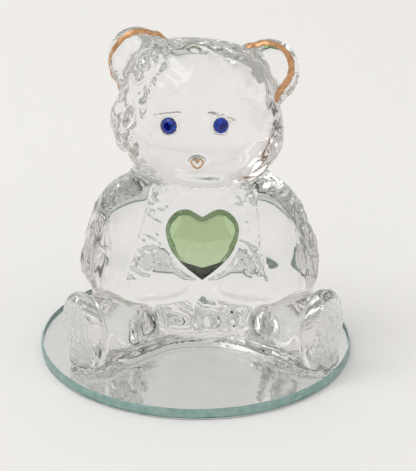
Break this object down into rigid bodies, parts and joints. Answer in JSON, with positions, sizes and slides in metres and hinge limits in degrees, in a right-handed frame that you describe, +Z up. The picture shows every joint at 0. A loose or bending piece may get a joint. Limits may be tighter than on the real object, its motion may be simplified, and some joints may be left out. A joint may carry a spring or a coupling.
{
  "type": "crystal glass figurine",
  "caption": "Seated clear glass teddy bear with a green glass heart, blue eye stones and gold ear lines, glued to a round mirror disc.",
  "frame": {"origin": "centre of the round mirror's underside, where the figurine rests", "axes": "+Z up, the bear faces -Y, +X towards the viewer's right"},
  "size_m": [0.06, 0.06, 0.063],
  "materials": {
    "clear_glass": "clear pressed soda-lime glass, fire-polished, with slight ripples",
    "mirror_glass": "float glass with a ground edge, blue-green when seen through its edge",
    "silvering": "silver film on the back of the glass",
    "back_paint": "grey protective mirror-back paint, satin",
    "clear_adhesive": "clear cured UV adhesive",
    "green_glass": "faceted peridot-green glass stone",
    "blue_glass": "faceted sapphire-blue glass stone",
    "eye_foil": "metal foil coat on the back of the eye stones",
    "gold_lustre": "hand-painted matt gold lustre with uneven edges"
  },
  "bodies": {
    "root": {"mirror_back_paint": "back_paint", "mirror_silvering": "silvering", "mirror_glass": "mirror_glass", "base_adhesive": "clear_adhesive", "bear_glass": "clear_glass", "heart_adhesive": "clear_adhesive", "heart_stone": "green_glass", "left_eye_stone": "blue_glass", "left_eye_foil": "eye_foil", "left_eye_glue": "clear_adhesive", "right_eye_stone": "blue_glass", "right_eye_foil": "eye_foil", "right_eye_glue": "clear_adhesive", "left_ear_gold": "gold_lustre", "right_ear_gold": "gold_lustre", "nose_gold": "gold_lustre"}
  },
  "joints": []
}
